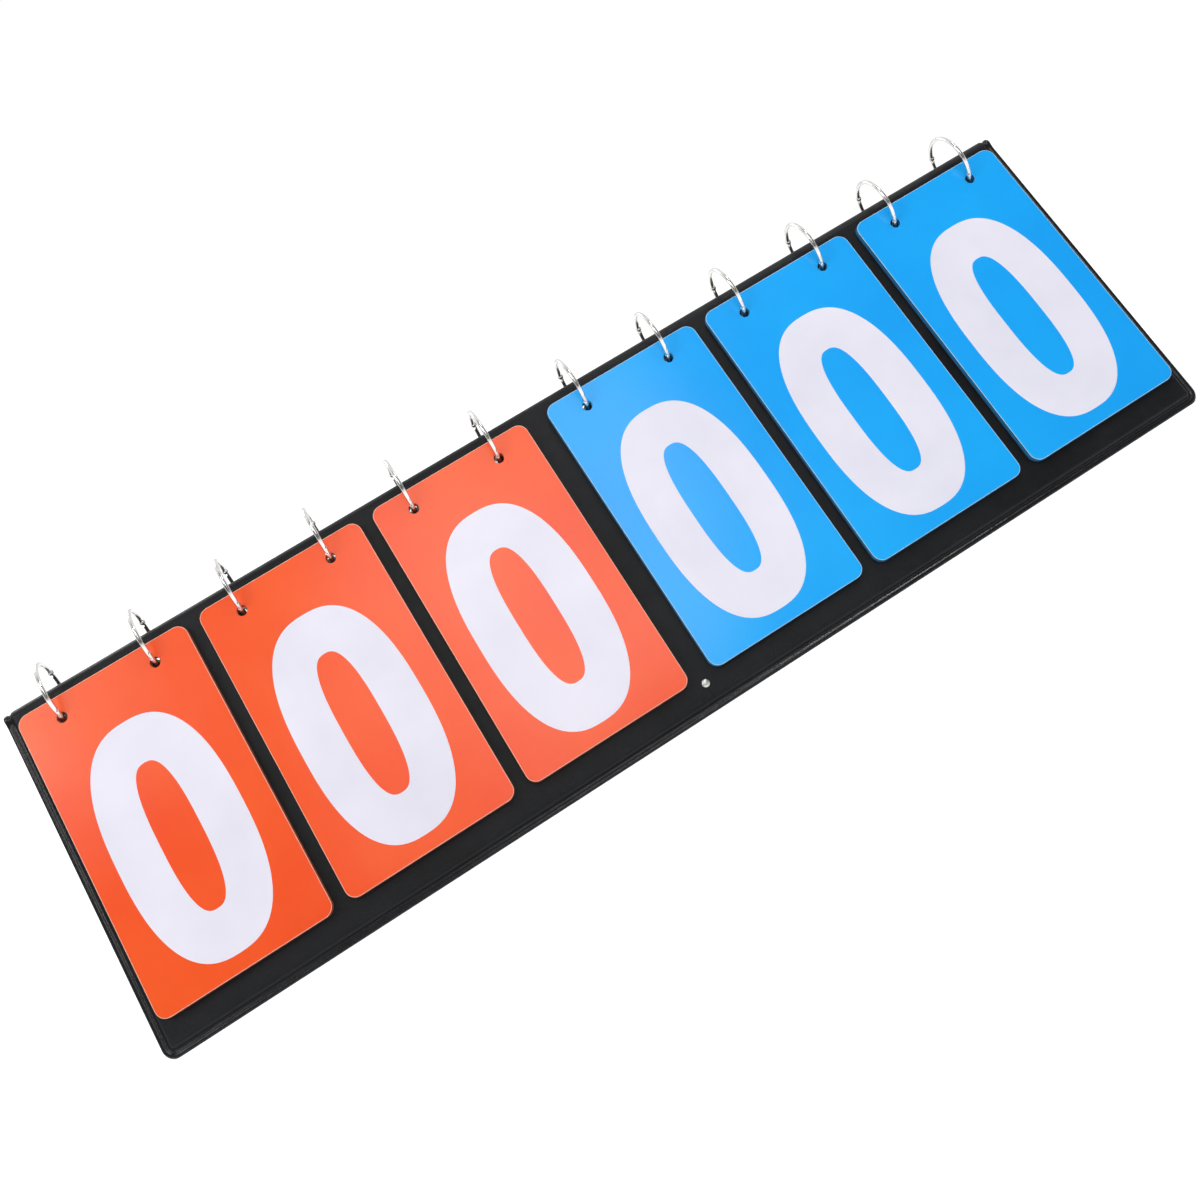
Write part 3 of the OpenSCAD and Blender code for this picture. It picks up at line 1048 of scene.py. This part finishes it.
# %% [markdown]
# ## Hinge pins
# A pin goes through the two eyes of each ring, and its ends are peened into low round heads. The
# Screw modifier could turn such a form, as on a lathe. Here it is added straight to the shell, so
# that the two pins of a pair are one piece.

# %% Turned forms and the pins
PIN_STEPS = 24
PIN_HEAD = [
    (1.45, 0.0), (1.44, 0.35), (1.4, 0.62), (1.31, 0.84), (1.2, 0.97), (1.12, 1.0), (1.1, 0.96),
]
PIN_PROFILE = PIN_HEAD + [(1.1, 0.5), (-1.1, 0.5)] + [(-a, r) for a, r in reversed(PIN_HEAD)]


def turned(shell, profile, place, steps):
    """Adds a turned form from a profile of (along the axis, radius), with radius 0 at its ends."""
    angles = [2 * math.pi * k / steps for k in range(steps)]
    first = shell.add([place(profile[0][0], 0.0, 0.0)])
    last = shell.add([place(profile[-1][0], 0.0, 0.0)])
    rows = [
        shell.add([place(a, r * math.cos(t), r * math.sin(t)) for t in angles])
        for a, r in profile[1:-1]
    ]
    shell.skin(rows)
    for k in range(steps):
        shell.face((first[0], rows[0][k], rows[0][(k + 1) % steps]))
        shell.face((last[0], rows[-1][(k + 1) % steps], rows[-1][k]))


for pair in range(1, len(CARD_X) + 1):
    shell = Shell()
    for n in (2 * pair - 2, 2 * pair - 1):
        hub = on_ring(n, knuckle_angle(n), RING_RADIUS, 0.0)
        turned(shell, PIN_PROFILE, lambda a, u, v, hub=hub: hub + Vector((a, u, v)) * MM, PIN_STEPS)
    finish_piece(
        shell, f"hinge_pins_{pair}", ["nickel"], f"ring_pair_{pair}",
        [f"ring_pins_{pair}"],
    )
print("pins:", len(RING_X))

# %% [markdown]
# ## The rivets
# One bright rivet in each leaf holds the end of the stay tape that keeps the tent from sliding
# flat. Its head is a low dome, and its shank passes through cover, board and lining to a washer.
# Half a sphere would stand too high, so the dome's own profile is turned, as the pins are.

# %% Rivets
RIVET_STEPS = 40
DOME = [
    (5.0, 0.0), (4.985, 0.35), (4.93, 0.8), (4.82, 1.25), (4.65, 1.62), (4.42, 1.86),
    (4.15, 1.98), (4.02, 2.0), (4.0, 1.9),
]
SHANK = [(4.0, 1.0), (0.5, 1.0), (0.5, 2.9), (0.44, 3.0), (0.16, 3.0), (0.1, 2.9), (0.1, 0.0)]
LEAF_NAMES = ((FRONT, "front"), (REAR, "rear"))
for side, name in LEAF_NAMES:
    shell = Shell()
    turned(
        shell, DOME + SHANK, lambda a, u, v, side=side: on_leaf(side, u, RIVET_DROP + v, a),
        RIVET_STEPS,
    )
    finish_piece(
        shell, f"{name}_rivet_dome", ["rivet"], f"{name}_leaf", [f"{name}_rivet"]
    )
print("rivets at", RIVET_DROP, "mm down the leaves")

# %% [markdown]
# ## The stay tape
# The tape lies flat under each rivet and runs level between the leaves, just above the table,
# where it sags a little. Cloth simulation could find the sag, but for a short flat strap a smooth
# curve looks the same. Its ends ride on the leaves, and its middle rides on the front leaf.

# %% The tape's ends
TAPE_WIDTH = 16.0
TAPE_THICK = 0.4
TAPE_OUT = 0.55
TAPE_EDGE = 0.12
TAB_HALF = 7.0
TAB_STEPS = 8
TAB_TOP, TAB_LOW = RIVET_DROP - TAB_HALF, RIVET_DROP + TAB_HALF


def band(shell, path, width, thick):
    """A flat band along a path of (centre point, direction of its thickness) in metres."""
    near = 0.5 - TAPE_EDGE / width
    sides = [(-0.5, 0.2), (-near, 0.5), (near, 0.5), (0.5, 0.2)]
    section = [(a * width, b * thick) for a, b in sides]
    section += [(a * width, -b * thick) for a, b in reversed(sides)]
    rows = [
        shell.add([centre + Vector((a * MM, 0, 0)) + up * (b * MM) for a, b in section])
        for centre, up in path
    ]
    shell.skin(rows)
    shell.face(rows[0])
    shell.face(rows[-1])


for side, name in LEAF_NAMES:
    shell = Shell()
    up = (on_leaf(side, 0, 0, 1) - on_leaf(side, 0, 0, 0)).normalized()
    drops = [TAB_TOP + (TAB_LOW - TAB_TOP) * k / TAB_STEPS for k in range(TAB_STEPS + 1)]
    path = [(on_leaf(side, 0, drop, TAPE_OUT + TAPE_THICK / 2), up) for drop in drops]
    band(shell, path, TAPE_WIDTH, TAPE_THICK)
    finish_piece(shell, f"stay_tape_{name}", ["tape"], f"{name}_leaf")
print("tape ends from", TAB_TOP, "to", TAB_LOW, "mm down the leaves")

# %% The tape's middle
TAPE_SAG = 1.2
TAB_TUCK = 0.2
HALF_STEPS = 20

shell = Shell()
end_point = on_leaf(FRONT, 0, TAB_LOW - TAB_TUCK, TAPE_OUT + TAPE_THICK / 2)
span, level = -end_point.y, end_point.z
path = []
for k in range(2 * HALF_STEPS + 1):
    part = k / HALF_STEPS - 1
    sag = TAPE_SAG * MM * (1 - part**4)
    slope = 4 * TAPE_SAG * MM * part**3 / span
    path.append((Vector((0, part * span, level - sag)), Vector((0, -slope, 1)).normalized()))
band(shell, path, TAPE_WIDTH, TAPE_THICK)
web = finish_piece(shell, "stay_tape_middle", ["tape"], "front_leaf", ["stay_strap"])
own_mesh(web)
print("tape spans", round(2 * span / MM, 1), "mm at", round(level / MM, 1), "mm above the table")

# %% [markdown]
# ## The floor
# The photograph is a cut-out on pure white. More light would whiten the floor too, but bleach the
# cards. So the floor is pale paper that glows only for the camera and in reflections. It lights
# the object at a plain studio level and keeps the object's shadow.

# %% Paper floor
FLOOR_HALF = 30.0
FLOOR_GLOW = 0.54

floor_mesh = bpy.data.meshes.new("paper_floor")
corners = [(x * FLOOR_HALF, y * FLOOR_HALF, 0) for x, y in ((-1, -1), (1, -1), (1, 1), (-1, 1))]
floor_mesh.from_pydata(corners, [], [(0, 1, 2, 3)])
floor = new_object("paper_floor", floor_mesh)

material, tree, place = start_material("white_paper")
paper = add_node(
    tree, "BsdfPrincipled",
    values={"Roughness": 0.9, "Base Color": linear("#F4F4F4"), "Specular IOR Level": 0.0},
)
rays = add_node(tree, "LightPath").outputs
seen = add_node(
    tree, "Math", {"operation": "MAXIMUM"},
    links={0: rays["Is Camera Ray"], 1: rays["Is Glossy Ray"]},
)
lift = add_node(tree, "Math", {"operation": "MULTIPLY"}, {1: FLOOR_GLOW}, {0: seen})
glow = add_node(tree, "Emission", values={"Color": linear("#FFFFFF")}, links={"Strength": lift})
total = add_node(tree, "AddShader", links={0: paper, 1: glow})
add_node(tree, "OutputMaterial", links={"Surface": total})
floor_mesh.materials.append(material)
print("floor of", 2 * FLOOR_HALF, "m with", material.name)

# %% [markdown]
# ## The room
# The world is the white room around the object. For the camera it is pure white, and for soft
# light a plain level. It could be white in reflections too, but a white wall in front would veil
# the satin cards, so there it is darker. That goes by the direction of the ray and not by the
# place of the camera, so it holds from any side.

# %% World
AMBIENT = 0.53
FRONT_GLOSS = 0.15
FRONT_TO, SIDE_FROM = -0.5, 0.1  # how far a ray points back, from -1 in front to 1 behind

world = bpy.data.worlds.new("studio")
bpy.context.scene.world = world
world.use_nodes = True
tree = world.node_tree
tree.nodes.clear()
rays = add_node(tree, "LightPath").outputs
seen = add_node(
    tree, "Math", {"operation": "MAXIMUM"},
    links={0: rays["Is Camera Ray"], 1: rays["Is Transmission Ray"]},
)
direction = add_node(tree, "TexCoord").outputs["Generated"]
back = add_node(tree, "SeparateXYZ", links={"Vector": direction}).outputs["Y"]
room = add_node(
    tree, "MapRange", {"interpolation_type": "SMOOTHSTEP"},
    {"From Min": FRONT_TO, "From Max": SIDE_FROM, "To Min": FRONT_GLOSS, "To Max": 1.0},
    {"Value": back},
)
mirrored = add_node(
    tree, "MapRange", values={"To Min": AMBIENT},
    links={"Value": rays["Is Glossy Ray"], "To Max": room},
)
brightness = add_node(
    tree, "MapRange", values={"To Max": 1.0}, links={"Value": seen, "To Min": mirrored}
)
sky = add_node(
    tree, "Background", values={"Color": linear("#FFFFFF")},
    links={"Strength": brightness},
)
add_node(tree, "OutputWorld", links={"Surface": sky})
print("ambient level", AMBIENT, "and", FRONT_GLOSS, "in front for reflections")

# %% [markdown]
# ## The lamps
# Soft boxes are large, so their shadows are soft and their images on satin ink are broad and dull.
# A sun lamp would give hard highlights, which the photograph doesn't have. The key stands at the
# left, and a lamp in front and above gives the cards their pale sheen. A small one lights the left
# cards' edges, a narrow strip draws the glint on the foot's weld, and one behind lights the fold.


# %% Lamps
def softbox(name, place, aim, width, depth, power):
    """A soft lamp at a place in metres, turned towards a point, with its power in watts."""
    lamp = bpy.data.lights.new(name, "AREA")
    lamp.shape, lamp.size, lamp.size_y, lamp.energy = "RECTANGLE", width, depth, power
    holder = new_object(name, lamp)
    holder.location = place
    holder.rotation_euler = (Vector(aim) - Vector(place)).to_track_quat("-Z", "Y").to_euler()


softbox("key_softbox", (-0.95, -0.66, 1.05), (0, -0.03, 0.09), 0.40, 0.40, 3.85)
softbox("card_softbox", (0.06, -1.22, 0.94), (-0.04, -0.04, 0.09), 0.55, 0.55, 3.0)
softbox("edge_softbox", (-0.72, -1.02, 1.08), (-0.2, -0.03, 0.12), 0.30, 0.30, 1.35)
softbox("foot_softbox", (0.43, -0.42, 1.02), (0.09, -0.06, 0.02), 0.46, 0.12, 1.9)
softbox("rear_softbox", (-0.7, 1.1, 1.2), (0, 0, 0.1), 0.8, 0.8, 6.0)

# %% [markdown]
# ## The camera
# The photograph was taken from close in front of the left end, along the board and with the camera
# rolled, so the tent runs up across the frame. A camera could be placed by trial, but the corners
# of six cards and a leaf fix it, so the values come from fitting a camera to those corners.

# %% Camera
camera_data = bpy.data.cameras.new("photo_camera")
camera_data.sensor_fit = "HORIZONTAL"
camera_data.sensor_width = 36.0
camera_data.lens = 38.8
camera_data.shift_x = 0.0508
camera_data.shift_y = -0.1401
camera_data.clip_start = 0.01
camera_data.clip_end = 200.0
camera = new_object("photo_camera", camera_data)
camera.location = Vector((-91.381, -606.714, 235.662)) * MM
camera.rotation_euler = [math.radians(a) for a in (79.5946, 28.8936, -13.6358)]
bpy.context.scene.camera = camera
bpy.context.scene.view_settings.view_transform = "Standard"
print("camera at", [round(c, 3) for c in camera.location])
